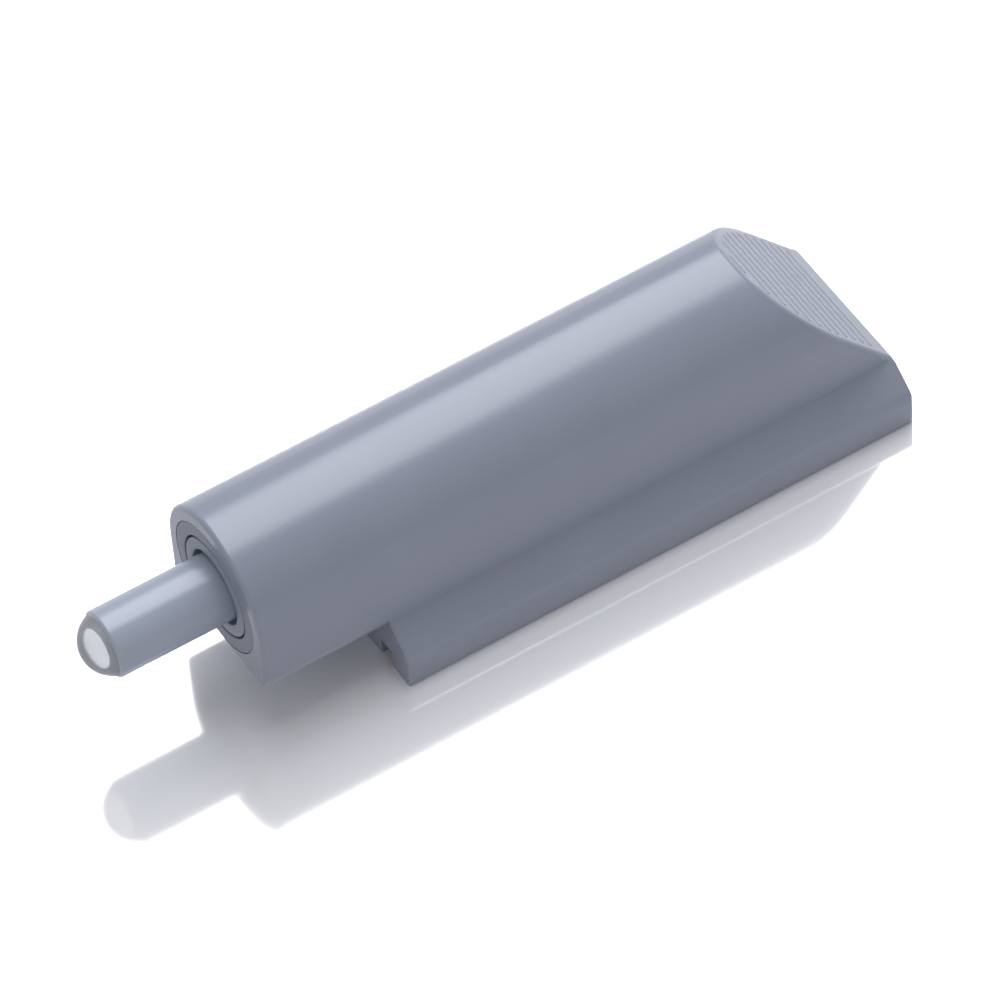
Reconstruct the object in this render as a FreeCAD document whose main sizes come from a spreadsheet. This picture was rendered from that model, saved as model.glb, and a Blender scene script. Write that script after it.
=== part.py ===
# Soft close damper for a cabinet door: a moulded housing with a foot, and a
# damper cartridge in its bore whose sprung plunger slides in against oil.
# Lengths are in millimetres. Every piece is drawn with x = 0 at the housing's
# front face and x growing to the rear. Turned pieces have x as their axis.
import FreeCAD, Part
import math
import os
import Sketcher

doc = FreeCAD.newDocument("soft_close_damper")

# Driving dimensions
DIMENSIONS = {
    # Housing: arch section, foot, snout in front of the foot, slanted rear end
    "housing_length": 50.8,
    "axis_height": 9.3,
    "arch_wall": 1.1,
    "snout_wall": 0.25,
    "snout_corner": 1.2,
    "crease_height": 4.85,
    "foot_setback": 9.75,
    "foot_flare": 2.15,
    "foot_side": 2.75,
    "flare_round": 1.5,
    "slant_run": 9.2,
    "rear_lean": 0.3,
    "end_wall": 1.6,
    "rim_round": 0.35,
    "slant_round": 0.35,
    "front_round": 0.2,
    "foot_corner": 0.5,
    "foot_round": 0.25,
    # Grip ribs on the slanted end, left standing between grooves
    "rib_pitch": 1.0,
    "groove_width": 0.45,
    "groove_depth": 0.18,
    "groove_margin": 0.8,
    # Notches at the foot's front edge
    "notch_width": 1.4,
    "notch_height": 1.5,
    "notch_depth": 3.0,
    "notch_inset": 2.95,
    # Fits
    "press_gap": 0.02,
    "running_gap": 0.05,
    "end_gap": 0.3,
    # Barrel, guide bush and rear plug
    "barrel_diameter": 10.0,
    "barrel_wall": 1.1,
    "bush_length": 6.0,
    "bush_lip_gap": 0.15,
    "bush_lip_length": 0.6,
    "bush_mouth_gap": 0.35,
    "bush_mouth_depth": 0.8,
    "plug_length": 4.0,
    "spigot_length": 1.5,
    "spigot_gap": 0.3,
    "socket_depth": 4.0,
    # Plunger tube with its flange and soft tip
    "stroke": 9.5,
    "plunger_diameter": 5.0,
    "plunger_reach": 8.8,
    "plunger_wall": 0.7,
    "plunger_nose": 1.8,
    "plunger_edge": 0.2,
    "flange_gap": 0.3,
    "flange_length": 1.2,
    "tip_rise": 1.6,
    "stem_diameter": 2.4,
    "stem_length": 1.1,
    # Oil chamber: foam, piston on its rod, seal and gland
    "foam_length": 1.8,
    "foam_gap": 0.1,
    "rod_diameter": 1.6,
    "neck_diameter": 1.2,
    "rivet_overlap": 0.5,
    "rivet_length": 0.5,
    "disc_gap": 0.2,
    "disc_thickness": 0.3,
    "piston_length": 2.0,
    "orifice_diameter": 0.45,
    "seal_length": 1.2,
    "seal_lip": 0.6,
    "washer_thickness": 0.4,
    "washer_gap": 0.1,
    "gland_length": 2.0,
    "gland_flange": 0.6,
    # Return spring
    "spring_wire": 0.45,
    "spring_turns": 7.0,
}
ORIFICE_COUNT = 4
# The spring's thin wire is drawn with this many sides
WIRE_SIDES = 6
# Points this close are taken as one
TOUCH = 1e-4


class Size:
    """A length with its value and the sheet expression that gives it."""

    def __init__(self, number, text):
        self.number = number
        self.text = text

    def combined(self, other, mark, number):
        return Size(number, f"({self.text} {mark} {as_size(other).text})")

    def __add__(self, other):
        return self.combined(other, "+", self.number + as_size(other).number)

    def __sub__(self, other):
        return self.combined(other, "-", self.number - as_size(other).number)

    def __mul__(self, other):
        return self.combined(other, "*", self.number * as_size(other).number)

    def __truediv__(self, other):
        return self.combined(other, "/", self.number / as_size(other).number)

    def __neg__(self):
        return Size(-self.number, f"(-{self.text})")


def as_size(value):
    if isinstance(value, Size):
        return value
    return Size(float(value), str(value))


def hypotenuse(a, b):
    return Size(math.hypot(a.number, b.number), f"sqrt({a.text}^2 + {b.text}^2)")


def make_sheet():
    """Write the driving dimensions to the sheet, and give each as a Size."""
    sheet = doc.addObject("Spreadsheet::Sheet", "dims")
    sizes = {}
    for row, (alias, value) in enumerate(DIMENSIONS.items(), start=1):
        sheet.set(f"A{row}", alias)
        sheet.set(f"B{row}", str(value))
        sheet.setAlias(f"B{row}", alias)
    doc.recompute()
    for alias in DIMENSIONS:
        sizes[alias] = Size(float(sheet.get(alias)), f"dims.{alias}")
    return sizes


def bind(feature, name, size):
    """Tie one property of a feature to the sheet."""
    feature.setExpression(name, as_size(size).text)


def new_body(name):
    body = doc.addObject("PartDesign::Body", name)
    body.Label = name
    return body


def new_sketch(body, name, role, offset=None):
    """A sketch on one of the body's own planes, moved along its normal."""
    sketch = body.newObject("Sketcher::SketchObject", name)
    plane = next(item for item in body.Origin.OriginFeatures if item.Role == role)
    sketch.AttachmentSupport = [(plane, "")]
    sketch.MapMode = "FlatFace"
    if offset is not None:
        bind(sketch, ".AttachmentOffset.Base.z", offset)
    return sketch


def fix_along(sketch, kind, geometry, position, label, value):
    """Hold one coordinate of a point: a Size from the sheet, or a plain 0."""
    if not isinstance(value, Size):
        axis = {"X": -2, "Y": -1}[kind]
        sketch.addConstraint(Sketcher.Constraint("PointOnObject", geometry, position, axis))
        return
    index = sketch.addConstraint(
        Sketcher.Constraint("Distance" + kind, -1, 1, geometry, position, value.number)
    )
    sketch.renameConstraint(index, f"{label}_{kind.lower()}")
    bind(sketch, f"Constraints.{label}_{kind.lower()}", value)


def fix_point(sketch, geometry, position, label, x, y):
    """Hold a point of the sketch at x, y, each a Size or a plain 0."""
    fix_along(sketch, "X", geometry, position, label, x)
    fix_along(sketch, "Y", geometry, position, label, y)


def arc_between(start, end, centre_y):
    """Centre, radius and angles of the arc from start to end about a centre at that height."""
    (x1, y1), (x2, y2) = start, end
    centre_x = (x1**2 - x2**2 + (y1 - centre_y) ** 2 - (y2 - centre_y) ** 2) / (2 * (x1 - x2))
    angles = [math.atan2(y - centre_y, x - centre_x) for x, y in (start, end)]
    return centre_x, math.hypot(x1 - centre_x, y1 - centre_y), angles


def draw(sketch, path):
    """Draw a closed outline, counterclockwise where it has arcs.

    Each entry is x, y and, where an arc leads to the next point, the height
    of that arc's centre.
    """
    count = len(path)
    first = sketch.GeometryCount
    for index, entry in enumerate(path):
        following = path[(index + 1) % count]
        start = (as_size(entry[0]).number, as_size(entry[1]).number)
        end = (as_size(following[0]).number, as_size(following[1]).number)
        if len(entry) == 2:
            a = FreeCAD.Vector(*start, 0)
            b = FreeCAD.Vector(*end, 0)
            sketch.addGeometry(Part.LineSegment(a, b))
            continue
        centre_y = as_size(entry[2]).number
        centre_x, radius, (a1, a2) = arc_between(start, end, centre_y)
        circle = Part.Circle(FreeCAD.Vector(centre_x, centre_y, 0), FreeCAD.Vector(0, 0, 1), radius)
        if a2 < a1:
            a2 += 2 * math.pi
        sketch.addGeometry(Part.ArcOfCircle(circle, a1, a2))
    for index, entry in enumerate(path):
        before = (index - 1) % count
        sketch.addConstraint(Sketcher.Constraint("Coincident", first + before, 2, first + index, 1))
        fix_point(sketch, first + index, 1, f"p{first + index}", entry[0], entry[1])
        if len(entry) > 2:
            fix_along(sketch, "Y", first + index, 3, f"c{first + index}", entry[2])


def draw_circle(sketch, x, y, radius):
    centre = FreeCAD.Vector(as_size(x).number, as_size(y).number, 0)
    index = sketch.addGeometry(Part.Circle(centre, FreeCAD.Vector(0, 0, 1), radius.number))
    fix_point(sketch, index, 3, f"p{index}", x, y)
    number = sketch.addConstraint(Sketcher.Constraint("Radius", index, radius.number))
    sketch.renameConstraint(number, f"r{index}")
    bind(sketch, f"Constraints.r{index}", radius)


def extrude(body, kind, name, sketch, length, midplane=False, reverse=False):
    """A pad or pocket of the sketch."""
    feature = body.newObject("PartDesign::" + kind, name)
    feature.Profile = sketch
    bind(feature, "Length", length)
    feature.Reversed = reverse
    feature.Midplane = midplane
    doc.recompute()
    return feature


def cut(body, name, sketch, depth, **options):
    """A pocket of the sketch, which has to take material away."""
    before = body.Shape.Volume
    pocket = extrude(body, "Pocket", name, sketch, depth, **options)
    if body.Shape.Volume >= before:
        raise RuntimeError(f"{name}: nothing was cut")
    return pocket


def round_edges(body, name, radius, wanted):
    """Fillet the edges of the body's last feature that the test picks."""
    base = body.Tip
    edges = [f"Edge{i}" for i, edge in enumerate(base.Shape.Edges, start=1) if wanted(edge)]
    if not edges:
        raise RuntimeError(f"{name}: no edge found")
    fillet = body.newObject("PartDesign::Fillet", name)
    fillet.Base = (base, edges)
    bind(fillet, "Radius", radius)
    doc.recompute()
    return fillet


def turned(name, outline):
    """A body of revolution about x, from an outline in x and radius."""
    body = new_body(name)
    sketch = new_sketch(body, name + "_outline", "XZ_Plane")
    draw(sketch, outline)
    revolution = body.newObject("PartDesign::Revolution", name + "_turning")
    revolution.Profile = sketch
    revolution.ReferenceAxis = (sketch, ["H_Axis"])
    revolution.Angle = 360
    doc.recompute()
    return body


def ring(name, x_front, x_rear, inner, outer):
    """A plain turned ring or, with no inner radius, a disc."""
    return turned(name, [(x_front, inner), (x_rear, inner), (x_rear, outer), (x_front, outer)])


size = make_sheet()

# Places that follow from the driving dimensions
barrel_radius = size["barrel_diameter"] / 2
barrel_bore = barrel_radius - size["barrel_wall"]
plunger_radius = size["plunger_diameter"] / 2
chamber_radius = plunger_radius - size["plunger_wall"]
rod_radius = size["rod_diameter"] / 2
neck_radius = size["neck_diameter"] / 2
spring_radius = (plunger_radius + barrel_bore) / 2

half_arch = barrel_radius + size["arch_wall"]
half_foot = half_arch + size["foot_flare"]
arch_top = size["axis_height"] + half_arch
snout_floor = size["axis_height"] - barrel_radius - size["snout_wall"]
slant_top = size["housing_length"] - size["slant_run"]
slant_drop = arch_top - size["crease_height"]
slant_length = hypotenuse(size["slant_run"], slant_drop)
foot_rear = size["housing_length"] + size["rear_lean"]
housing_front = -(size["foot_setback"] + foot_rear) / 2
barrel_length = slant_top - size["end_wall"]

plunger_front = -size["plunger_reach"]
chamber_front = plunger_front + size["plunger_nose"]
foam_rear = chamber_front + size["foam_length"]
rivet_front = foam_rear + size["stroke"] + size["end_gap"]
disc_front = rivet_front + size["rivet_length"]
piston_front = disc_front + size["disc_thickness"]
piston_rear = piston_front + size["piston_length"]
seal_front = piston_rear + size["end_gap"]
washer_front = seal_front + size["seal_length"]
gland_front = washer_front + size["washer_thickness"]
plunger_rear = gland_front + size["gland_length"]
flange_front = size["bush_length"]
flange_rear = flange_front + size["flange_length"]
plug_front = barrel_length - size["plug_length"]
spigot_front = plug_front - size["spigot_length"]
rod_rear = spigot_front + size["socket_depth"]


def near(a, b):
    return abs(a - b) < TOUCH


def at_x(edge, place):
    return all(near(vertex.X, place.number) for vertex in edge.Vertexes)


def at_z(edge, place):
    return all(near(vertex.Z, place.number) for vertex in edge.Vertexes)


def middle_of(edge):
    return edge.valueAt((edge.FirstParameter + edge.LastParameter) / 2)


def add_foot(body):
    """Arch over a flared foot: one section from the foot's front to the rear end."""
    side = size["foot_side"]
    axis = size["axis_height"]
    section = new_sketch(body, "foot_section", "YZ_Plane", size["foot_setback"])
    draw(section, [
        (-half_foot, 0),
        (half_foot, 0),
        (half_foot, side),
        (half_arch, size["crease_height"]),
        (half_arch, axis, axis),
        (-half_arch, axis),
        (-half_arch, size["crease_height"]),
        (-half_foot, side),
    ])
    extrude(body, "Pad", "foot_pad", section, foot_rear - size["foot_setback"])
    round_edges(body, "flare_edges", size["flare_round"], lambda edge: at_z(edge, side))


def add_snout(body):
    """Arch in front of the foot, with round lower corners and just a skin under the bore."""
    axis = size["axis_height"]
    inset = half_arch - size["snout_corner"]
    corner_top = snout_floor + size["snout_corner"]
    section = new_sketch(body, "snout_section", "YZ_Plane")
    draw(section, [
        (-inset, snout_floor),
        (inset, snout_floor, corner_top),
        (half_arch, corner_top),
        (half_arch, axis, axis),
        (-half_arch, axis),
        (-half_arch, corner_top, corner_top),
    ])
    extrude(body, "Pad", "snout_pad", section, size["foot_setback"])


def cut_slant(body):
    """Slanted rear end, from the arch's top down to the crease, and a rear face that leans out below it."""
    crease = (size["housing_length"], size["crease_height"])
    side = new_sketch(body, "slant_side", "XZ_Plane")
    draw(side, [(slant_top, arch_top), crease, (foot_rear, size["foot_corner"]), (foot_rear, arch_top)])
    cut(body, "slant_cut", side, half_foot * 2, midplane=True)


def round_rims(body):
    """Round the front face's rim, the slanted end's rim and the foot's front edges."""

    def slant_edge(edge):
        middle = middle_of(edge)
        fall = (arch_top.number - middle.z) / slant_drop.number
        return near(middle.x, slant_top.number + fall * size["slant_run"].number)

    def foot_edge(edge):
        return at_x(edge, size["foot_setback"]) and abs(middle_of(edge).y) > half_arch.number + TOUCH

    round_edges(body, "front_rim", size["rim_round"], lambda edge: at_x(edge, as_size(0)))
    round_edges(body, "slant_rim", size["slant_round"], slant_edge)
    round_edges(body, "front_edges", size["front_round"], foot_edge)


def cut_bore(body):
    """Blind bore that the cartridge is pressed into."""
    circle = new_sketch(body, "bore_circle", "YZ_Plane")
    draw_circle(circle, 0, size["axis_height"], barrel_radius + size["press_gap"])
    cut(body, "bore", circle, barrel_length, reverse=True)


def cut_notches(body):
    """Two notches in the foot's front edge."""
    height = size["notch_height"]
    ends = new_sketch(body, "notch_ends", "YZ_Plane", size["foot_setback"])
    for sign in (-1, 1):
        middle = (half_foot - size["notch_inset"]) * sign
        left = middle - size["notch_width"] / 2
        right = middle + size["notch_width"] / 2
        draw(ends, [(left, 0), (right, 0), (right, height), (left, height)])
    cut(body, "notches", ends, size["notch_depth"], reverse=True)


def make_plan_limits():
    """Block that gives the foot its round rear corners and lower edge."""
    body = new_body("plan_limits")
    corner = size["foot_corner"]
    outline = new_sketch(body, "plan_outline", "XY_Plane")
    draw(outline, [
        (0, -half_foot),
        (foot_rear - corner, -half_foot, corner - half_foot),
        (foot_rear, corner - half_foot),
        (foot_rear, half_foot - corner, half_foot - corner),
        (foot_rear - corner, half_foot),
        (0, half_foot),
    ])
    extrude(body, "Pad", "plan_pad", outline, arch_top)
    round_edges(body, "foot_edges", size["foot_round"],
                lambda edge: at_z(edge, as_size(0)) and not at_x(edge, as_size(0)))
    return body


def make_grooves():
    """V grooves across the slanted end, one at each rib pitch."""
    body = new_body("grip_grooves")
    body.AllowCompound = True
    along_x = size["slant_run"] / slant_length
    along_z = slant_drop / slant_length
    depth = size["groove_depth"]
    lip = size["groove_width"] / 2

    def on_slant(distance, above):
        """Point at a distance down the slant and a height above it."""
        return (slant_top + along_x * distance + along_z * above,
                arch_top - along_z * distance + along_x * above)

    count = int((slant_length.number - size["groove_margin"].number) / size["rib_pitch"].number)
    sections = new_sketch(body, "groove_sections", "XZ_Plane")
    for index in range(count):
        middle = size["rib_pitch"] * (index + 1)
        draw(sections, [on_slant(middle - lip, lip), on_slant(middle, -depth), on_slant(middle + lip, lip)])
    extrude(body, "Pad", "groove_pad", sections, half_arch * 2, midplane=True)
    return body


def make_grip_field():
    """Column that keeps the grooves inside a plain rim."""
    body = new_body("grip_field")
    axis = size["axis_height"]
    inner = half_arch - size["groove_margin"]
    lowest = size["crease_height"] + size["groove_margin"]
    outline = new_sketch(body, "grip_outline", "YZ_Plane")
    draw(outline, [(-inner, lowest), (inner, lowest), (inner, axis, axis), (-inner, axis)])
    extrude(body, "Pad", "grip_pad", outline, size["housing_length"])
    return body


def combine(kind, name, base, tool):
    """A boolean of two shapes: Common or Cut."""
    feature = doc.addObject("Part::" + kind, name)
    feature.Base = base
    feature.Tool = tool
    feature.Label = name
    doc.recompute()
    return feature


def make_housing():
    """The moulding: foot and arch, snout, slanted end with grip ribs, bore and notches."""
    body = new_body("housing_body")
    add_foot(body)
    add_snout(body)
    cut_slant(body)
    round_rims(body)
    cut_bore(body)
    cut_notches(body)
    moulding = combine("Common", "moulding", body, make_plan_limits())
    grooves = combine("Common", "kept_grooves", make_grooves(), make_grip_field())
    return combine("Cut", "housing", moulding, grooves)


def make_barrel():
    return ring("barrel", 0, barrel_length, barrel_bore, barrel_radius)


def make_guide_bush():
    """Guide ring in the barrel's mouth, with a lip groove outside and a wider mouth inside."""
    bore = plunger_radius + size["running_gap"]
    outer = barrel_bore - size["press_gap"]
    mouth = plunger_radius + size["bush_mouth_gap"]
    lip = barrel_bore - size["bush_lip_gap"]
    return turned("guide_bush", [
        (0, mouth),
        (size["bush_mouth_depth"], mouth),
        (size["bush_mouth_depth"], bore),
        (size["bush_length"], bore),
        (size["bush_length"], outer),
        (size["bush_lip_length"], outer),
        (size["bush_lip_length"], lip),
        (0, lip),
    ])


def make_rear_plug():
    """Plug in the barrel's rear end, with a spigot for the spring and a socket for the rod."""
    spigot = spring_radius - size["spring_wire"] / 2 - size["spigot_gap"]
    socket = rod_radius + size["press_gap"]
    outer = barrel_bore - size["press_gap"]
    return turned("rear_plug", [
        (rod_rear, 0),
        (barrel_length, 0),
        (barrel_length, outer),
        (plug_front, outer),
        (plug_front, spigot),
        (spigot_front, spigot),
        (spigot_front, socket),
        (rod_rear, socket),
    ])


def make_plunger():
    """Tube with a closed nose, a socket for the tip, and a flange that the spring pushes on."""
    edge = size["plunger_edge"]
    socket = size["stem_diameter"] / 2 + size["press_gap"]
    socket_end = plunger_front + size["stem_length"]
    flange = barrel_bore - size["flange_gap"]
    return turned("plunger", [
        (socket_end, 0),
        (chamber_front, 0),
        (chamber_front, chamber_radius),
        (plunger_rear, chamber_radius),
        (plunger_rear, plunger_radius),
        (flange_rear, plunger_radius),
        (flange_rear, flange),
        (flange_front, flange),
        (flange_front, plunger_radius),
        (plunger_front + edge, plunger_radius),
        (plunger_front, plunger_radius - edge),
        (plunger_front, socket),
        (socket_end, socket),
    ])


def make_bumper_tip():
    """Soft dome with a stem that is pressed into the plunger's nose."""
    dome = plunger_radius - size["plunger_edge"]
    stem = size["stem_diameter"] / 2
    stem_rear = plunger_front + size["stem_length"]
    return turned("bumper_tip", [
        (stem_rear, 0),
        (stem_rear, stem),
        (plunger_front, stem),
        (plunger_front, dome, 0),
        (plunger_front - size["tip_rise"], 0),
    ])


def make_piston_rod():
    """Steel rod with a necked end for the piston, closed by a riveted head."""
    rivet = neck_radius + size["rivet_overlap"]
    return turned("piston_rod", [
        (rivet_front, 0),
        (rod_rear, 0),
        (rod_rear, rod_radius),
        (piston_rear, rod_radius),
        (piston_rear, neck_radius),
        (disc_front, neck_radius),
        (disc_front, rivet),
        (rivet_front, rivet),
    ])


def make_piston_head():
    """Piston with a ring of throttling holes."""
    body = ring("piston_head", piston_front, piston_rear,
                neck_radius + size["press_gap"], chamber_radius - size["running_gap"])
    hole = new_sketch(body, "orifice_circle", "YZ_Plane", piston_front)
    draw_circle(hole, 0, (neck_radius + chamber_radius) / 2, size["orifice_diameter"] / 2)
    pocket = cut(body, "orifice", hole, size["piston_length"], reverse=True)
    pattern = body.newObject("PartDesign::PolarPattern", "orifices")
    pattern.Originals = [pocket]
    pattern.Axis = (next(item for item in body.Origin.OriginFeatures if item.Role == "X_Axis"), [""])
    pattern.Angle = 360
    pattern.Occurrences = ORIFICE_COUNT
    body.Tip = pattern
    doc.recompute()
    return body


def make_valve_disc():
    return ring("valve_disc", disc_front, piston_front,
                neck_radius + size["press_gap"], chamber_radius - size["disc_gap"])


def make_foam_compensator():
    return ring("foam_compensator", chamber_front, foam_rear, 0, chamber_radius - size["foam_gap"])


def make_rod_seal():
    """Lip seal with its groove towards the oil."""
    inner = rod_radius + size["running_gap"]
    outer = chamber_radius - size["press_gap"]
    return turned("rod_seal", [
        (seal_front, inner),
        (washer_front, inner),
        (washer_front, outer),
        (seal_front, outer),
        (seal_front + size["seal_lip"], (inner + outer) / 2),
    ])


def make_backup_washer():
    return ring("backup_washer", washer_front, gland_front,
                rod_radius + size["washer_gap"], chamber_radius - size["press_gap"])


def make_end_gland():
    """Plug in the plunger's rear end, with a flange against the tube."""
    bore = rod_radius + size["running_gap"]
    gland_rear = plunger_rear + size["gland_flange"]
    return turned("end_gland", [
        (gland_front, bore),
        (gland_rear, bore),
        (gland_rear, plunger_radius),
        (plunger_rear, plunger_radius),
        (plunger_rear, chamber_radius - size["press_gap"]),
        (gland_front, chamber_radius - size["press_gap"]),
    ])


def make_return_spring():
    """Coil spring between the plunger's flange and the rear plug."""
    body = new_body("return_spring")
    wire = size["spring_wire"] / 2
    seat = size["running_gap"]
    section = new_sketch(body, "wire_section", "XZ_Plane")
    corners = [2 * math.pi * (index + 0.5) / WIRE_SIDES for index in range(WIRE_SIDES)]
    draw(section, [
        (flange_rear + seat + wire + wire * math.cos(a), spring_radius + wire * math.sin(a))
        for a in corners
    ])
    helix = body.newObject("PartDesign::AdditiveHelix", "coils")
    helix.Profile = section
    helix.ReferenceAxis = (section, ["H_Axis"])
    helix.Mode = "height-turns-angle"
    bind(helix, "Height", plug_front - flange_rear - seat * 2 - size["spring_wire"])
    bind(helix, "Turns", size["spring_turns"])
    doc.recompute()
    return body


def place(piece, height):
    """Move a piece from the front face's frame to the foot's, at that height."""
    bind(piece, ".Placement.Base.x", housing_front)
    bind(piece, ".Placement.Base.z", height)


housing = make_housing()
place(housing, 0)
cartridge = [
    make_barrel(),
    make_guide_bush(),
    make_rear_plug(),
    make_plunger(),
    make_bumper_tip(),
    make_piston_rod(),
    make_piston_head(),
    make_valve_disc(),
    make_foam_compensator(),
    make_rod_seal(),
    make_backup_washer(),
    make_end_gland(),
    make_return_spring(),
]
for piece in cartridge:
    place(piece, size["axis_height"])
doc.recompute()

for item in doc.Objects:
    if {"Invalid", "Error"} & set(item.State):
        raise RuntimeError(f"{item.Label}: {item.State}")
os.makedirs("parts", exist_ok=True)
for piece in [housing] + cartridge:
    if piece.Shape.isNull() or not piece.Shape.isValid():
        raise RuntimeError(f"{piece.Label} has no valid shape")
for piece in [housing] + cartridge:
    piece.Shape.exportStep(f"parts/{piece.Label}.step")
    print(piece.Label, round(piece.Shape.Volume, 3), len(piece.Shape.Solids))
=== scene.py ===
"""Soft close damper: a moulded housing with a damper cartridge in its bore, dressed and staged."""

import math

import bmesh
import bpy
from bpy.props import FloatProperty, FloatVectorProperty, IntProperty, PointerProperty
from bpy.types import Operator, Panel, PropertyGroup
from mathutils import Matrix, Vector


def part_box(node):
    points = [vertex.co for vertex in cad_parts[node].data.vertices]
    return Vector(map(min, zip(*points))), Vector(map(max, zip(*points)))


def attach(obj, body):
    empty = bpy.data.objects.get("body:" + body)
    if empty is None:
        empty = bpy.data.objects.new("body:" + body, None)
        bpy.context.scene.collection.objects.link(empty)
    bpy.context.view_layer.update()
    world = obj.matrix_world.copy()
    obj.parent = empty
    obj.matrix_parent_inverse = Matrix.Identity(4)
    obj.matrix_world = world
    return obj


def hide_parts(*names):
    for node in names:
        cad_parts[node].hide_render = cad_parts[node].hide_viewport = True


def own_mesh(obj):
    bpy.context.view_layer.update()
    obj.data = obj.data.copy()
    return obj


bl_info = {
    "name": "Soft close damper",
    "version": (1, 0, 0),
    "blender": (4, 5, 0),
    "location": "View3D > Sidebar > Damper",
    "description": "Builds the dressed pieces of a soft close damper on its frame, and a studio stage",
    "category": "Object",
}

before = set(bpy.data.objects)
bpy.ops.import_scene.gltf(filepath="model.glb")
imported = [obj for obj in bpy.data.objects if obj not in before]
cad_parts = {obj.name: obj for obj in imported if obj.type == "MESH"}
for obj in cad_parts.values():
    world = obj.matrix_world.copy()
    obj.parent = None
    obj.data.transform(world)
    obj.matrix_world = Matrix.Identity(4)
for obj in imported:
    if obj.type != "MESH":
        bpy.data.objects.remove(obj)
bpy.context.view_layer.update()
MM = 0.001
CASING = "casing"
PLUNGER = "plunger"

# Places on the frame, in metres
BARREL_LOW, BARREL_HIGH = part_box("barrel")
AXIS_HEIGHT = (BARREL_LOW.z + BARREL_HIGH.z) / 2
BARREL_RADIUS = (BARREL_HIGH.z - BARREL_LOW.z) / 2
PLUNGER_LOW, PLUNGER_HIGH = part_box("plunger")
BUSH_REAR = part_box("guide_bush")[1].x
TIP_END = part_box("bumper_tip")[0].x
SPRING_LOW, SPRING_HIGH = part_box("return_spring")
FRONT = BARREL_LOW.x

# Points closer than this, in metres, are one
MERGE = 1e-7
# A radius below this, in metres, lies on the axis
ON_AXIS = 1e-9
# Roughness, grain and gloss of each moulded finish
FINISHES = {
    "satin_housing": (0.24, 0.3, 0.62),
    "rib_plastic": (0.35, 0.25, 0.4),
    "sleeve_plastic": (0.5, 0.2, 0.2),
    "guide_plastic": (0.5, 0.15, 0.2),
    "plunger_plastic": (0.24, 0.06, 0.65),
    # Finish of the dome's rim faces, which carry painted shade
    "rim_gray_and_shade": (0.4, 0.05, 0.3),
    "pale_core": (0.5, 0.05, 0.2),
    "natural_plastic": (0.4, 0.1, 0.5),
}
# Spots to a metre in each pattern
MOTTLE = 240.0
GRAIN = 4200.0
CLOUD = 700.0
WIRE_LINES = 900.0
RUBBER_CELLS = 2600.0
FOAM_CELLS = 5200.0
# How high the patterns stand, in metres
GRAIN_HEIGHT = 0.012 * MM
CELL_HEIGHT = 0.05 * MM


def length(label, text, default):
    """A length in metres, shown in the scene's unit."""
    return FloatProperty(name=label, description=text, default=default, unit="LENGTH", precision=5)


def colour(label, text, default):
    """A surface colour, linear."""
    return FloatVectorProperty(
        name=label, description=text, default=default, subtype="COLOR", size=3, min=0.0, max=1.0
    )


class DamperSizes(PropertyGroup):
    """Sizes of the dressed pieces."""

    edge_round: length("Edge round", "Rounding of the turned pieces' edges", 0.12 * MM)
    around: IntProperty(name="Facets around", description="Facets round a turned piece", default=128)
    smooth_angle: FloatProperty(
        name="Smooth angle", description="Edges sharper than this stay sharp",
        default=math.radians(32), subtype="ANGLE",
    )
    wire_smooth_angle: FloatProperty(
        name="Wire smooth angle", description="The same for the spring's wire",
        default=math.radians(60), subtype="ANGLE",
    )
    slant_run: length("Slant run", "Length of the slanted end along the housing", 9.2 * MM)
    crease_height: length("Crease height", "Height of the crease above the foot's underside", 4.85 * MM)
    rear_lean: length("Rear lean", "How far the rear face leans out below the crease", 0.3 * MM)
    rib_pitch: length("Rib pitch", "Spacing of the ribs down the slant", 1.0 * MM)
    rib_margin: length("Rib margin", "Plain rim round the ribs", 0.76 * MM)
    rib_radius: length("Rib radius", "Radius of a rib's round back", 0.17 * MM)
    rib_height: length("Rib height", "How far a rib stands above the slant", 0.04 * MM)
    barrel_wall: length("Barrel wall", "Wall of the cartridge's sleeve", 1.1 * MM)
    bush_lip_gap: length("Lip gap", "Groove between the bush's lip and the sleeve", 0.15 * MM)
    bush_lip_length: length("Lip length", "Depth of that groove", 0.6 * MM)
    bush_mouth_gap: length("Mouth gap", "Gap between the bush's mouth and the plunger", 0.35 * MM)
    bush_mouth_depth: length("Mouth depth", "Depth of the bush's wide mouth", 0.8 * MM)
    press_gap: length("Press gap", "Radial gap of a pressed fit", 0.02 * MM)
    running_gap: length("Running gap", "Radial gap of a sliding fit", 0.05 * MM)
    plunger_radius: length("Plunger radius", "Outer radius of the sliding tube", 2.5 * MM)
    plunger_wall: length("Plunger wall", "Wall of the sliding tube", 0.7 * MM)
    plunger_nose: length("Plunger nose", "Thickness of the tube's closed end", 1.8 * MM)
    plunger_edge: length("Plunger edge", "Bevel round the tube's front end", 0.2 * MM)
    flange_front: length("Flange front", "Flange's distance behind the sleeve's front", 6.0 * MM)
    flange_length: length("Flange length", "Thickness of the flange the spring pushes on", 1.2 * MM)
    stem_radius: length("Stem radius", "Radius of the tip's stem", 1.2 * MM)
    stem_length: length("Stem length", "Length of the tip's stem", 1.1 * MM)
    core_radius: length("Core radius", "Radius of the dome's pale middle", 1.1 * MM)
    dome_steps: IntProperty(name="Dome steps", description="Steps from the dome's rim to its end", default=28)
    wire_radius: length("Wire radius", "Radius of the spring's wire", 0.225 * MM)
    turns: FloatProperty(name="Turns", description="Turns of the return spring", default=7.0)
    dead_turns: FloatProperty(name="Closed turns", description="Turns that lie flat at each end", default=0.9)


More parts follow.
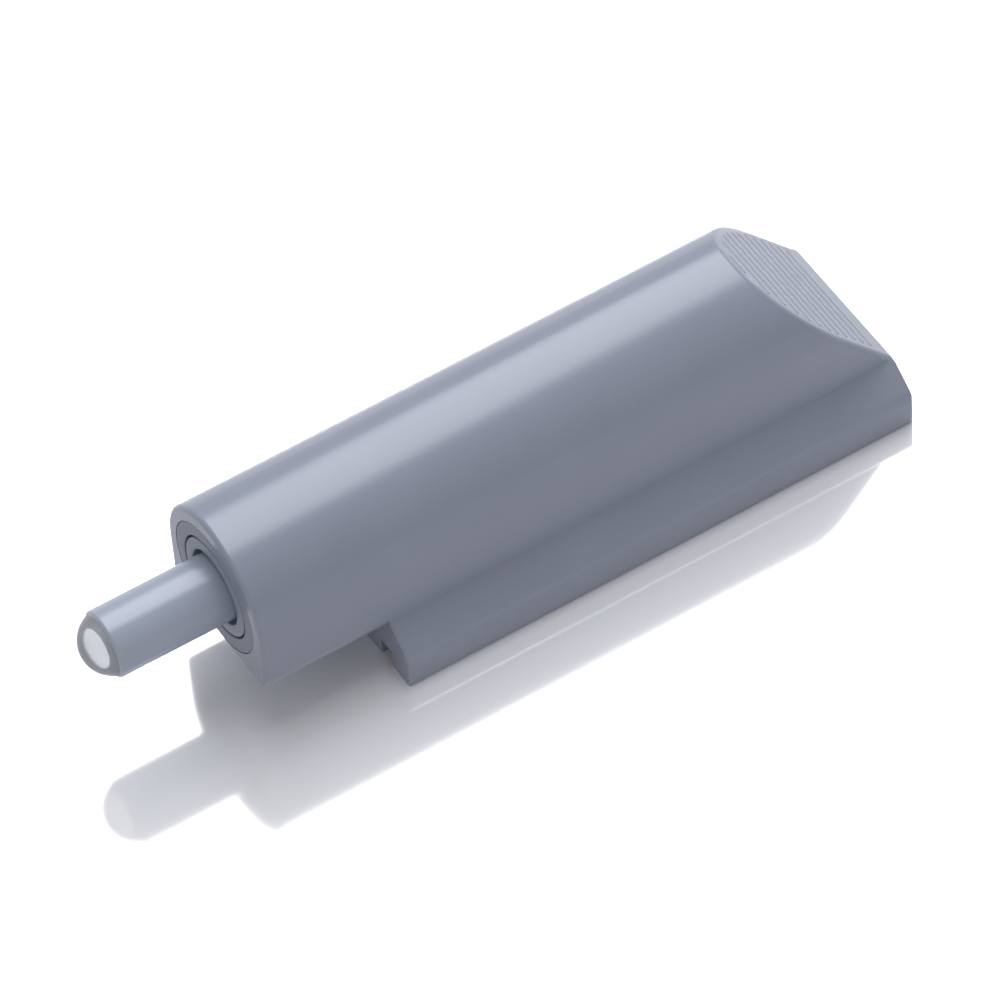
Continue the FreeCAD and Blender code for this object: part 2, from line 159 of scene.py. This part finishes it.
class DamperColours(PropertyGroup):
    """Colours of the dressed pieces, the floor and the light."""

    housing: colour("Housing", "Satin moulded housing", (0.232, 0.256, 0.318))
    barrel: colour("Barrel", "Cartridge sleeve", (0.232, 0.253, 0.305))
    bush: colour("Guide bush", "Ring in the sleeve's mouth", (0.268, 0.292, 0.35))
    plunger: colour("Plunger", "Smooth sliding tube", (0.31, 0.342, 0.42))
    tip: colour("Tip", "Clear glossy dome", (0.93, 0.95, 0.99))
    tip_core: colour("Tip core", "Pale stem seen through the dome", (0.84, 0.87, 0.92))
    # Tip rim: the plunger's gray darkened, painted shade for the dome's dark edge and the seam
    tip_rim_gray_and_shade: colour("Tip rim", "Rim seen through the dome", (0.17, 0.185, 0.235))
    inner: colour("Inner plastic", "Natural plastic inside the cartridge", (0.7, 0.69, 0.66))
    steel: colour("Steel", "Drawn steel wire", (0.55, 0.55, 0.57))
    rubber: colour("Rubber", "Lip seal", (0.02, 0.02, 0.021))
    foam: colour("Foam", "Closed-cell foam", (0.06, 0.06, 0.065))
    floor: colour("Floor", "Pale glossy floor", (0.9, 0.9, 0.92))
    key: colour("Key light", "Soft box", (0.95, 0.97, 1.0))
    sky: colour("Sky", "Light from all round", (0.98, 0.98, 1.0))


class DamperStage(PropertyGroup):
    """Camera and light."""

    azimuth: FloatProperty(name="Azimuth", description="Camera's turn about the upright axis",
                           default=math.radians(-28.469), subtype="ANGLE")
    elevation: FloatProperty(name="Elevation", description="Camera's height above the horizon",
                             default=math.radians(50.652), subtype="ANGLE")
    roll: FloatProperty(name="Roll", description="Camera's turn about its own axis",
                        default=math.radians(-4.788), subtype="ANGLE")
    distance: length("Distance", "Camera's distance from its target", 547.0 * MM)
    lens: FloatProperty(name="Lens", description="Focal length for a 36 mm sensor", default=287.7)
    target: FloatVectorProperty(name="Target", description="Point in the middle of the frame",
                                default=(-5.425 * MM, 0.0, 7.5 * MM), size=3, subtype="TRANSLATION")
    slide: FloatVectorProperty(name="Slide", description="Camera's move to the right and up",
                               default=(-1.992 * MM, -4.033 * MM), size=2, subtype="TRANSLATION")
    key_place: FloatVectorProperty(name="Key place", description="Where the soft box hangs",
                                   default=(0.128, 0.195, 0.446), size=3, subtype="TRANSLATION")
    key_width: length("Key width", "Short side of the soft box", 0.28)
    key_length: length("Key length", "Long side of the soft box", 0.68)
    key_aim: length("Key aim", "Height of the point the soft box faces", 10.0 * MM)
    key_power: FloatProperty(name="Key light", description="Power of the soft box", default=2.5)
    sky: FloatProperty(name="Sky", description="Strength of the light from all round", default=0.53)
    mirror: FloatProperty(name="Floor gloss", description="Share of the floor that mirrors", default=0.29,
                          min=0.0, max=1.0)
    mirror_blur: FloatProperty(name="Mirror blur", description="Roughness of the floor", default=0.09)
    floor_half: length("Floor half", "Half the floor's side", 3.0)
    floor_drop: length("Floor drop", "Floor's distance below the foot", 0.02 * MM)


def sizes():
    """The sizes as set in the panel."""
    return bpy.context.scene.damper_sizes


def colours():
    """The colours as set in the panel."""
    return bpy.context.scene.damper_colours


def stage_settings():
    """Camera and light as set in the panel."""
    return bpy.context.scene.damper_stage


def new_material(name):
    """A node material with its Principled shader and texture coordinates."""
    material = bpy.data.materials.new(name)
    material.use_nodes = True
    nodes = material.node_tree.nodes
    shader = nodes["Principled BSDF"]
    coordinates = nodes.new("ShaderNodeTexCoord")
    return material, shader, coordinates


def noise(material, coordinates, scale, detail=3.0, stretch=None):
    """A noise pattern in the piece's own coordinates."""
    nodes, links = material.node_tree.nodes, material.node_tree.links
    pattern = nodes.new("ShaderNodeTexNoise")
    pattern.inputs["Scale"].default_value = scale
    pattern.inputs["Detail"].default_value = detail
    source = coordinates.outputs["Object"]
    if stretch:
        mapping = nodes.new("ShaderNodeMapping")
        mapping.inputs["Scale"].default_value = stretch
        links.new(source, mapping.inputs["Vector"])
        source = mapping.outputs["Vector"]
    links.new(source, pattern.inputs["Vector"])
    return pattern


def tint(material, shader, pattern, base, spread):
    """Vary the base colour a little with a pattern."""
    nodes, links = material.node_tree.nodes, material.node_tree.links
    ramp = nodes.new("ShaderNodeValToRGB")
    ramp.color_ramp.elements[0].position = 0.3
    ramp.color_ramp.elements[1].position = 0.7
    for element, factor in zip(ramp.color_ramp.elements, (1 - spread, 1 + spread)):
        element.color = (*(min(1.0, c * factor) for c in base), 1.0)
    links.new(pattern.outputs["Fac"], ramp.inputs["Fac"])
    links.new(ramp.outputs["Color"], shader.inputs["Base Color"])


def vary(material, pattern, socket, low, high):
    """Drive a shader input between two values with a pattern."""
    nodes, links = material.node_tree.nodes, material.node_tree.links
    span = nodes.new("ShaderNodeMapRange")
    span.inputs["To Min"].default_value = low
    span.inputs["To Max"].default_value = high
    links.new(pattern.outputs["Fac"], span.inputs["Value"])
    links.new(span.outputs["Result"], socket)


def bump(material, shader, pattern, strength, distance):
    """Raise the surface by a pattern."""
    nodes, links = material.node_tree.nodes, material.node_tree.links
    raised = nodes.new("ShaderNodeBump")
    raised.inputs["Strength"].default_value = strength
    raised.inputs["Distance"].default_value = distance
    links.new(pattern.outputs["Fac"], raised.inputs["Height"])
    links.new(raised.outputs["Normal"], shader.inputs["Normal"])


def moulded_plastic(name, base):
    """Moulded plastic with a faint flow mottle and a fine grain."""
    roughness, grain, gloss = FINISHES[name]
    spread = 0.015
    material, shader, coordinates = new_material(name)
    mottle = noise(material, coordinates, MOTTLE, 4.0)
    fine = noise(material, coordinates, GRAIN, 1.0)
    tint(material, shader, mottle, base, 0.02)
    vary(material, mottle, shader.inputs["Roughness"], roughness - spread, roughness + spread)
    bump(material, shader, fine, grain, GRAIN_HEIGHT)
    shader.inputs["Specular IOR Level"].default_value = gloss
    return material


def clear_plastic(name, base):
    """Clear moulded plastic, faintly clouded."""
    material, shader, coordinates = new_material(name)
    cloud = noise(material, coordinates, CLOUD)
    tint(material, shader, cloud, base, 0.03)
    vary(material, cloud, shader.inputs["Roughness"], 0.17, 0.22)
    shader.inputs["Transmission Weight"].default_value = 0.82
    shader.inputs["IOR"].default_value = 1.43
    return material


def drawn_steel(name, base):
    """Drawn wire with fine lengthwise lines."""
    material, shader, coordinates = new_material(name)
    lines = noise(material, coordinates, WIRE_LINES, 4.0, (0.1, 1.0, 1.0))
    tint(material, shader, lines, base, 0.12)
    vary(material, lines, shader.inputs["Roughness"], 0.22, 0.38)
    shader.inputs["Metallic"].default_value = 1.0
    return material


def soft_rubber(name, base, cell):
    """Matt rubber or foam with a fine cell pattern."""
    material, shader, coordinates = new_material(name)
    cells = noise(material, coordinates, cell, 5.0)
    tint(material, shader, cells, base, 0.3)
    bump(material, shader, cells, 0.5, CELL_HEIGHT)
    shader.inputs["Roughness"].default_value = 0.85
    return material


def finish_mesh(mesh, angle):
    """Merge, turn faces outwards, and shade smooth up to the angle."""
    work = bmesh.new()
    work.from_mesh(mesh)
    bmesh.ops.remove_doubles(work, verts=work.verts, dist=MERGE)
    bmesh.ops.dissolve_degenerate(work, edges=work.edges, dist=MERGE / 10)
    bmesh.ops.recalc_face_normals(work, faces=work.faces)
    for face in work.faces:
        face.smooth = True
    for edge in work.edges:
        edge.smooth = edge.calc_face_angle(math.pi) < angle
    work.to_mesh(mesh)
    work.free()
    mesh.update()


def add_piece(name, mesh, material, body, slot, *nodes):
    """Put a finished mesh on its body, in place of its frame nodes."""
    piece = bpy.data.objects.new(name, mesh)
    bpy.context.scene.collection.objects.link(piece)
    mesh.materials.clear()
    mesh.materials.append(material)
    weighted = piece.modifiers.new("weighted_normals", "WEIGHTED_NORMAL")
    weighted.keep_sharp = True
    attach(piece, body)
    if nodes:
        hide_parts(*nodes)
    return piece


def rounded(profile, radius, steps=4):
    """Round the corners of a closed profile of x, radius points, as far as its sides allow."""
    result = []
    count = len(profile)
    for index, corner in enumerate(profile):
        here = Vector(corner)
        before = Vector(profile[index - 1])
        after = Vector(profile[(index + 1) % count])
        inward, outward = before - here, after - here
        on_axis = here.y < ON_AXIS
        turn = inward.angle(outward, math.pi)
        if on_axis or turn > math.radians(160):
            result.append(here)
            continue
        reach = min(radius / math.tan(turn / 2), inward.length * 0.4, outward.length * 0.4)
        start = here + inward.normalized() * reach
        end = here + outward.normalized() * reach
        for step in range(steps + 1):
            t = step / steps
            result.append(start * (1 - t) ** 2 + here * 2 * t * (1 - t) + end * t ** 2)
    return result


def turned_mesh(name, profile, around):
    """Revolve a closed profile of x, radius points about the cartridge's axis."""
    vertices, faces, rings = [], [], []
    for x, r in profile:
        if r < ON_AXIS:
            rings.append([len(vertices)] * around)
            vertices.append((x, 0.0, AXIS_HEIGHT))
            continue
        rings.append(list(range(len(vertices), len(vertices) + around)))
        for index in range(around):
            angle = 2 * math.pi * index / around
            vertices.append((x, r * math.sin(angle), AXIS_HEIGHT + r * math.cos(angle)))
    for index, ring in enumerate(rings):
        following = rings[(index + 1) % len(rings)]
        for k in range(around):
            n = (k + 1) % around
            corners = list(dict.fromkeys((ring[k], ring[n], following[n], following[k])))
            if len(corners) > 2:
                faces.append(corners)
    mesh = bpy.data.meshes.new(name)
    mesh.from_pydata(vertices, [], faces)
    return mesh


def turned_piece(name, profile, material, body, slot, node):
    """A turned piece with rounded edges that stands for a frame node."""
    mesh = turned_mesh(name, rounded(profile, sizes().edge_round), sizes().around)
    finish_mesh(mesh, sizes().smooth_angle)
    return add_piece(name, mesh, material, body, slot, node)


class DAMPER_OT_housing(Operator):
    """Smooth satin moulding of the housing"""

    bl_idname = "damper.housing"
    bl_label = "Housing"

    def execute(self, context):
        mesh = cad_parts["housing"].data.copy()
        mesh.name = "housing_shell"
        finish_mesh(mesh, sizes().smooth_angle)
        material = moulded_plastic("satin_housing", colours().housing)
        add_piece("housing_shell", mesh, material, CASING, "housing_plastic", "housing")
        return {"FINISHED"}


class DAMPER_OT_sleeve(Operator):
    """Cartridge sleeve and the guide bush in its mouth"""

    bl_idname = "damper.sleeve"
    bl_label = "Sleeve and guide bush"

    def execute(self, context):
        s = sizes()
        bore = BARREL_RADIUS - s.barrel_wall
        rear = BARREL_HIGH.x
        sleeve = [(FRONT, bore), (rear, bore), (rear, BARREL_RADIUS), (FRONT, BARREL_RADIUS)]
        material = moulded_plastic("sleeve_plastic", colours().barrel)
        turned_piece("sleeve", sleeve, material, CASING, "barrel_plastic", "barrel")
        outer = bore - s.press_gap
        inner = s.plunger_radius + s.running_gap
        mouth = s.plunger_radius + s.bush_mouth_gap
        lip = bore - s.bush_lip_gap
        bush = [
            (FRONT, mouth),
            (FRONT + s.bush_mouth_depth, mouth),
            (FRONT + s.bush_mouth_depth, inner),
            (BUSH_REAR, inner),
            (BUSH_REAR, outer),
            (FRONT + s.bush_lip_length, outer),
            (FRONT + s.bush_lip_length, lip),
            (FRONT, lip),
        ]
        material = moulded_plastic("guide_plastic", colours().bush)
        turned_piece("guide_ring", bush, material, CASING, "bush_plastic", "guide_bush")
        return {"FINISHED"}


class DAMPER_OT_plunger(Operator):
    """Sliding plunger tube with its glossy tip"""

    bl_idname = "damper.plunger"
    bl_label = "Plunger and tip"

    def execute(self, context):
        s = sizes()
        r = s.plunger_radius
        chamber = r - s.plunger_wall
        socket = s.stem_radius + s.press_gap
        front, rear = PLUNGER_LOW.x, PLUNGER_HIGH.x
        flange = (PLUNGER_HIGH.z - PLUNGER_LOW.z) / 2
        flange_front = FRONT + s.flange_front
        flange_rear = flange_front + s.flange_length
        tube = [
            (front + s.stem_length, 0.0),
            (front + s.plunger_nose, 0.0),
            (front + s.plunger_nose, chamber),
            (rear, chamber),
            (rear, r),
            (flange_rear, r),
            (flange_rear, flange),
            (flange_front, flange),
            (flange_front, r),
            (front + s.plunger_edge, r),
            (front, r - s.plunger_edge),
            (front, socket),
            (front + s.stem_length, socket),
        ]
        material = moulded_plastic("plunger_plastic", colours().plunger)
        turned_piece("plunger_tube", tube, material, PLUNGER, "plunger_plastic", "plunger")
        self.add_tip(front, r - s.plunger_edge)
        return {"FINISHED"}

    def add_tip(self, front, base):
        """A clear spherical cap over a pale stem."""
        s = sizes()
        rise = front - TIP_END
        sphere = (base ** 2 + rise ** 2) / (2 * rise)
        widest = math.asin(min(1.0, base / sphere))
        cap = []
        for index in range(s.dome_steps + 1):
            angle = widest * (1 - index / s.dome_steps)
            cap.append((TIP_END + sphere * (1 - math.cos(angle)), sphere * math.sin(angle)))
        seat = front - 0.5 * s.press_gap
        underside = [(seat, 0.0), (seat, s.core_radius)]
        mesh = turned_mesh("dome_tip", [Vector(p) for p in underside + cap], s.around)
        finish_mesh(mesh, s.smooth_angle)
        clear = clear_plastic("clear_dome", colours().tip)
        add_piece("dome_tip", mesh, clear, PLUNGER, "tip_plastic", "bumper_tip")
        # The dome's underside round the rim carries the plunger's gray, darkened as painted shade for the
        # dome's dark edge and the seam; the stem in its middle shows pale.
        mesh.materials.append(moulded_plastic("rim_gray_and_shade", colours().tip_rim_gray_and_shade))
        for face in mesh.polygons:
            radius = math.hypot(face.center.y, face.center.z - AXIS_HEIGHT)
            if face.normal.x > 0.99 and radius > s.core_radius:
                face.material_index = 1
        near, far = front + s.press_gap, front + s.stem_length - s.press_gap
        pin = [(near, 0.0), (far, 0.0), (far, s.stem_radius), (near, s.stem_radius)]
        pale = moulded_plastic("pale_core", colours().tip_core)
        turned_piece("tip_core", pin, pale, PLUNGER, "tip_plastic", "bumper_tip")


def tree_input(tree, name, kind, default):
    """An input of a node tree with its default."""
    socket = tree.interface.new_socket(name, in_out="INPUT", socket_type=kind)
    socket.default_value = default
    return socket


def run_tree(name, tree, values):
    """Evaluate a node tree on an empty mesh and give the result as a plain mesh."""
    seed = bpy.data.objects.new(name, bpy.data.meshes.new(name))
    bpy.context.scene.collection.objects.link(seed)
    modifier = seed.modifiers.new("nodes", "NODES")
    modifier.node_group = tree
    for item in tree.interface.items_tree:
        if item.item_type == "SOCKET" and item.in_out == "INPUT" and item.name in values:
            modifier[item.identifier] = values[item.name]
    bpy.context.view_layer.update()
    graph = bpy.context.evaluated_depsgraph_get()
    mesh = bpy.data.meshes.new_from_object(seed.evaluated_get(graph), depsgraph=graph)
    mesh.name = name
    bpy.data.objects.remove(seed)
    if not mesh.polygons:
        raise RuntimeError(f"{name}: the node tree gave no faces")
    return mesh


def number_maker(tree):
    """A maker of arithmetic nodes that takes sockets or plain numbers."""

    def value(operation, first, second):
        node = tree.nodes.new("ShaderNodeMath")
        node.operation = operation
        for socket, source in zip(node.inputs, (first, second)):
            if hasattr(source, "links"):
                tree.links.new(source, socket)
            else:
                socket.default_value = source
        return node.outputs[0]

    return value


def end_tree(tree, geometry, material):
    """Make instances real, set the material and give the result."""
    nodes, links = tree.nodes, tree.links
    real = nodes.new("GeometryNodeRealizeInstances")
    links.new(geometry, real.inputs["Geometry"])
    finish = nodes.new("GeometryNodeSetMaterial")
    finish.inputs["Material"].default_value = material
    links.new(real.outputs["Geometry"], finish.inputs["Geometry"])
    links.new(finish.outputs["Geometry"], nodes.new("NodeGroupOutput").inputs["Geometry"])


def spring_tree(material):
    """Coil that lies flat at both ends and winds evenly between."""
    tree = bpy.data.node_groups.new("return_spring_coils", "GeometryNodeTree")
    tree.interface.new_socket("Geometry", in_out="OUTPUT", socket_type="NodeSocketGeometry")
    for label, default in (("Coil Radius", 3.2 * MM), ("Wire Radius", 0.2 * MM), ("Length", 28 * MM),
                           ("Turns", 7.0), ("Closed Turns", 0.9), ("Start", 0.0), ("Axis Height", 9.3 * MM)):
        tree_input(tree, label, "NodeSocketFloat", default)
    tree_input(tree, "Points", "NodeSocketInt", 280)
    nodes, links = tree.nodes, tree.links
    inputs = nodes.new("NodeGroupInput")
    value = number_maker(tree)
    line = nodes.new("GeometryNodeCurvePrimitiveLine")
    spaced = nodes.new("GeometryNodeResampleCurve")
    links.new(line.outputs["Curve"], spaced.inputs["Curve"])
    links.new(inputs.outputs["Points"], spaced.inputs["Count"])
    along = nodes.new("GeometryNodeSplineParameter").outputs["Factor"]
    angle = value("MULTIPLY", value("MULTIPLY", along, inputs.outputs["Turns"]), 2 * math.pi)
    flat = value("DIVIDE", inputs.outputs["Closed Turns"], inputs.outputs["Turns"])
    rise = nodes.new("ShaderNodeMapRange")
    rise.interpolation_type = "SMOOTHERSTEP"
    links.new(along, rise.inputs["Value"])
    lying, eased = 0.35, 0.4
    links.new(value("MULTIPLY", flat, lying), rise.inputs["From Min"])
    links.new(value("SUBTRACT", 1.0, value("MULTIPLY", flat, lying)), rise.inputs["From Max"])
    curved = value("MULTIPLY", rise.outputs["Result"], eased)
    even = value("ADD", curved, value("MULTIPLY", along, 1.0 - eased))
    wire_width = value("MULTIPLY", inputs.outputs["Wire Radius"], 2.0)
    travel = value("SUBTRACT", inputs.outputs["Length"], wire_width)
    lead = value("ADD", inputs.outputs["Start"], inputs.outputs["Wire Radius"])
    place = nodes.new("ShaderNodeCombineXYZ")
    links.new(value("ADD", lead, value("MULTIPLY", even, travel)), place.inputs["X"])
    links.new(value("MULTIPLY", inputs.outputs["Coil Radius"], value("SINE", angle, 0.0)), place.inputs["Y"])
    height = value("MULTIPLY", inputs.outputs["Coil Radius"], value("COSINE", angle, 0.0))
    links.new(value("ADD", inputs.outputs["Axis Height"], height), place.inputs["Z"])
    moved = nodes.new("GeometryNodeSetPosition")
    links.new(spaced.outputs["Curve"], moved.inputs["Geometry"])
    links.new(place.outputs["Vector"], moved.inputs["Position"])
    wire = nodes.new("GeometryNodeCurvePrimitiveCircle")
    wire.inputs["Resolution"].default_value = 12
    links.new(inputs.outputs["Wire Radius"], wire.inputs["Radius"])
    swept = nodes.new("GeometryNodeCurveToMesh")
    swept.inputs["Fill Caps"].default_value = True
    links.new(moved.outputs["Geometry"], swept.inputs["Curve"])
    links.new(wire.outputs["Curve"], swept.inputs["Profile Curve"])
    end_tree(tree, swept.outputs["Mesh"], material)
    return tree


def rib_tree(material):
    """Straight ribs down the slanted end, each as long as the arch is wide there."""
    tree = bpy.data.node_groups.new("grip_rib_rows", "GeometryNodeTree")
    tree.interface.new_socket("Geometry", in_out="OUTPUT", socket_type="NodeSocketGeometry")
    tree_input(tree, "Count", "NodeSocketInt", 12)
    for label, default in (("Pitch", 1.0 * MM), ("Rib Radius", 0.3 * MM), ("Field Radius", 5.3 * MM),
                           ("Axis Height", 9.3 * MM), ("First X", 0.0), ("First Z", 14 * MM),
                           ("Along X", 0.66), ("Along Z", 0.75)):
        tree_input(tree, label, "NodeSocketFloat", default)
    nodes, links = tree.nodes, tree.links
    inputs = nodes.new("NodeGroupInput").outputs
    value = number_maker(tree)
    rows = nodes.new("GeometryNodeMeshLine")
    links.new(inputs["Count"], rows.inputs["Count"])
    fall = value("MULTIPLY", nodes.new("GeometryNodeInputIndex").outputs["Index"], inputs["Pitch"])
    x = value("ADD", inputs["First X"], value("MULTIPLY", fall, inputs["Along X"]))
    z = value("SUBTRACT", inputs["First Z"], value("MULTIPLY", fall, inputs["Along Z"]))
    above = value("MAXIMUM", value("SUBTRACT", z, inputs["Axis Height"]), 0.0)
    square = value("SUBTRACT", value("POWER", inputs["Field Radius"], 2.0), value("POWER", above, 2.0))
    reach = value("SQRT", value("MAXIMUM", square, 0.0), 0.0)
    place = nodes.new("ShaderNodeCombineXYZ")
    links.new(x, place.inputs["X"])
    links.new(z, place.inputs["Z"])
    set_out = nodes.new("GeometryNodeSetPosition")
    links.new(rows.outputs["Mesh"], set_out.inputs["Geometry"])
    links.new(place.outputs["Vector"], set_out.inputs["Position"])
    bar = nodes.new("GeometryNodeMeshCylinder")
    bar.inputs["Vertices"].default_value = 24
    bar.inputs["Radius"].default_value = 1.0
    bar.inputs["Depth"].default_value = 2.0
    across = nodes.new("GeometryNodeTransform")
    across.inputs["Rotation"].default_value = (math.pi / 2, 0.0, 0.0)
    links.new(bar.outputs["Mesh"], across.inputs["Geometry"])
    shape = nodes.new("ShaderNodeCombineXYZ")
    links.new(inputs["Rib Radius"], shape.inputs["X"])
    links.new(reach, shape.inputs["Y"])
    links.new(inputs["Rib Radius"], shape.inputs["Z"])
    ribs = nodes.new("GeometryNodeInstanceOnPoints")
    links.new(set_out.outputs["Geometry"], ribs.inputs["Points"])
    links.new(across.outputs["Geometry"], ribs.inputs["Instance"])
    links.new(shape.outputs["Vector"], ribs.inputs["Scale"])
    end_tree(tree, ribs.outputs["Instances"], material)
    return tree


class DAMPER_OT_grip(Operator):
    """Rounded ribs on the slanted end"""

    bl_idname = "damper.grip"
    bl_label = "Grip ribs"

    def execute(self, context):
        s = sizes()
        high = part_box("housing")[1]
        drop = high.z - s.crease_height
        slope = math.hypot(s.slant_run, drop)
        along_x, along_z = s.slant_run / slope, drop / slope
        first, sunk = s.rib_pitch, s.rib_radius - s.rib_height
        count = int((slope - s.rib_margin) / s.rib_pitch) - 1
        material = moulded_plastic("rib_plastic", colours().housing)
        mesh = run_tree("grip_ribs", rib_tree(material), {
            "Count": count, "Pitch": s.rib_pitch, "Rib Radius": s.rib_radius, "Axis Height": AXIS_HEIGHT,
            "Field Radius": high.z - AXIS_HEIGHT - s.rib_margin, "Along X": along_x, "Along Z": along_z,
            "First X": high.x - s.rear_lean - s.slant_run + along_x * first - along_z * sunk,
            "First Z": high.z - along_z * first - along_x * sunk,
        })
        finish_mesh(mesh, s.smooth_angle)
        add_piece("grip_ribs", mesh, material, CASING, "housing_plastic")
        return {"FINISHED"}


class DAMPER_OT_spring(Operator):
    """Return spring, wound at its length on the frame"""

    bl_idname = "damper.spring"
    bl_label = "Return spring"

    def execute(self, context):
        s = sizes()
        material = drawn_steel("spring_steel", colours().steel)
        tree = spring_tree(material)
        span = SPRING_HIGH.x - SPRING_LOW.x
        coil = (SPRING_HIGH.z - SPRING_LOW.z) / 2 - s.wire_radius
        mesh = run_tree("return_coil", tree, {
            "Coil Radius": coil, "Wire Radius": s.wire_radius, "Length": span, "Turns": s.turns,
            "Closed Turns": s.dead_turns, "Start": SPRING_LOW.x, "Axis Height": AXIS_HEIGHT,
        })
        finish_mesh(mesh, s.wire_smooth_angle)
        piece = add_piece("return_coil", mesh, material, CASING, "steel", "return_spring")
        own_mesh(piece)
        return {"FINISHED"}


class DAMPER_OT_inner_works(Operator):
    """Finishes of the pieces inside the cartridge"""

    bl_idname = "damper.inner_works"
    bl_label = "Inner works"

    def execute(self, context):
        natural = moulded_plastic("natural_plastic", colours().inner)
        steel = drawn_steel("rod_steel", colours().steel)
        rubber = soft_rubber("seal_rubber", colours().rubber, RUBBER_CELLS)
        foam = soft_rubber("closed_cell_foam", colours().foam, FOAM_CELLS)
        finishes = {
            "rear_plug": natural, "piston_head": natural, "valve_disc": natural,
            "backup_washer": natural, "end_gland": natural, "piston_rod": steel,
            "rod_seal": rubber, "foam_compensator": foam,
        }
        for node, material in finishes.items():
            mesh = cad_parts[node].data
            mesh.materials.clear()
            mesh.materials.append(material)
        return {"FINISHED"}


class DAMPER_OT_stage(Operator):
    """Pale glossy floor, soft light and the camera"""

    bl_idname = "damper.stage"
    bl_label = "Stage"

    def execute(self, context):
        self.make_floor()
        self.make_light()
        self.make_world(context)
        self.make_camera(context)
        context.scene.view_settings.view_transform = "Standard"
        return {"FINISHED"}

    def make_floor(self):
        settings = stage_settings()
        half, z = settings.floor_half, -settings.floor_drop
        mesh = bpy.data.meshes.new("floor")
        corners = [(-half, -half, z), (half, -half, z), (half, half, z), (-half, half, z)]
        mesh.from_pydata(corners, [], [(0, 1, 2, 3)])
        floor = bpy.data.objects.new("floor", mesh)
        bpy.context.scene.collection.objects.link(floor)
        material = bpy.data.materials.new("pale_floor")
        material.use_nodes = True
        nodes, links = material.node_tree.nodes, material.node_tree.links
        nodes.clear()
        matt = nodes.new("ShaderNodeBsdfDiffuse")
        matt.inputs["Color"].default_value = (*colours().floor, 1.0)
        gloss = nodes.new("ShaderNodeBsdfGlossy")
        gloss.inputs["Color"].default_value = (1.0, 1.0, 1.0, 1.0)
        gloss.inputs["Roughness"].default_value = settings.mirror_blur
        mixed = nodes.new("ShaderNodeMixShader")
        mixed.inputs["Fac"].default_value = settings.mirror
        links.new(matt.outputs["BSDF"], mixed.inputs[1])
        links.new(gloss.outputs["BSDF"], mixed.inputs[2])
        links.new(mixed.outputs["Shader"], nodes.new("ShaderNodeOutputMaterial").inputs["Surface"])
        mesh.materials.append(material)

    def make_light(self):
        lamp = bpy.data.lights.new("soft_key", "AREA")
        lamp.shape = "RECTANGLE"
        settings = stage_settings()
        lamp.size = settings.key_width
        lamp.size_y = settings.key_length
        lamp.color = colours().key
        lamp.energy = settings.key_power
        key = bpy.data.objects.new("soft_key", lamp)
        key.location = settings.key_place
        key.rotation_mode = "QUATERNION"
        key.rotation_quaternion = (Vector((0, 0, settings.key_aim)) - key.location).to_track_quat("-Z", "Y")
        bpy.context.scene.collection.objects.link(key)

    def make_world(self, context):
        world = bpy.data.worlds.new("studio")
        context.scene.world = world
        world.use_nodes = True
        sky = world.node_tree.nodes["Background"]
        sky.inputs["Color"].default_value = (*colours().sky, 1.0)
        sky.inputs["Strength"].default_value = stage_settings().sky

    def make_camera(self, context):
        settings = stage_settings()
        a, e, r = settings.azimuth, settings.elevation, settings.roll
        back = Vector((math.sin(a) * math.cos(e), -math.cos(a) * math.cos(e), math.sin(e)))
        level = Vector((math.cos(a), math.sin(a), 0.0))
        upright = back.cross(level)
        right = level * math.cos(r) + upright * math.sin(r)
        up = upright * math.cos(r) - level * math.sin(r)
        data = bpy.data.cameras.new("camera")
        data.lens = settings.lens
        data.sensor_width = 36.0
        data.clip_start = 0.01
        data.clip_end = 20.0
        camera = bpy.data.objects.new("camera", data)
        turn = Matrix((right, up, back)).transposed()
        place = Vector(settings.target) + back * settings.distance
        place += right * settings.slide[0] + up * settings.slide[1]
        camera.matrix_world = Matrix.Translation(place) @ turn.to_4x4()
        context.scene.collection.objects.link(camera)
        context.scene.camera = camera


OPERATORS = (
    DAMPER_OT_housing, DAMPER_OT_grip, DAMPER_OT_sleeve, DAMPER_OT_plunger, DAMPER_OT_spring,
    DAMPER_OT_inner_works, DAMPER_OT_stage,
)


class DAMPER_PT_panel(Panel):
    """Lists the damper's pieces"""

    bl_idname = "DAMPER_PT_panel"
    bl_label = "Soft close damper"
    bl_space_type = "VIEW_3D"
    bl_region_type = "UI"
    bl_category = "Damper"

    def draw(self, context):
        for operator in OPERATORS:
            self.layout.operator(operator.bl_idname)
        for group in (context.scene.damper_sizes, context.scene.damper_colours, context.scene.damper_stage):
            box = self.layout.box()
            for name in group.__annotations__:
                box.prop(group, name)


GROUPS = {"damper_sizes": DamperSizes, "damper_colours": DamperColours, "damper_stage": DamperStage}
CLASSES = (*GROUPS.values(), *OPERATORS, DAMPER_PT_panel)


def register():
    for item in CLASSES:
        bpy.utils.register_class(item)
    for name, group in GROUPS.items():
        setattr(bpy.types.Scene, name, PointerProperty(type=group))


def unregister():
    for name in GROUPS:
        delattr(bpy.types.Scene, name)
    for item in reversed(CLASSES):
        bpy.utils.unregister_class(item)


def main():
    register()
    for operator in OPERATORS:
        group, name = operator.bl_idname.split(".")
        getattr(getattr(bpy.ops, group), name)()


if __name__ == "__main__":
    main()
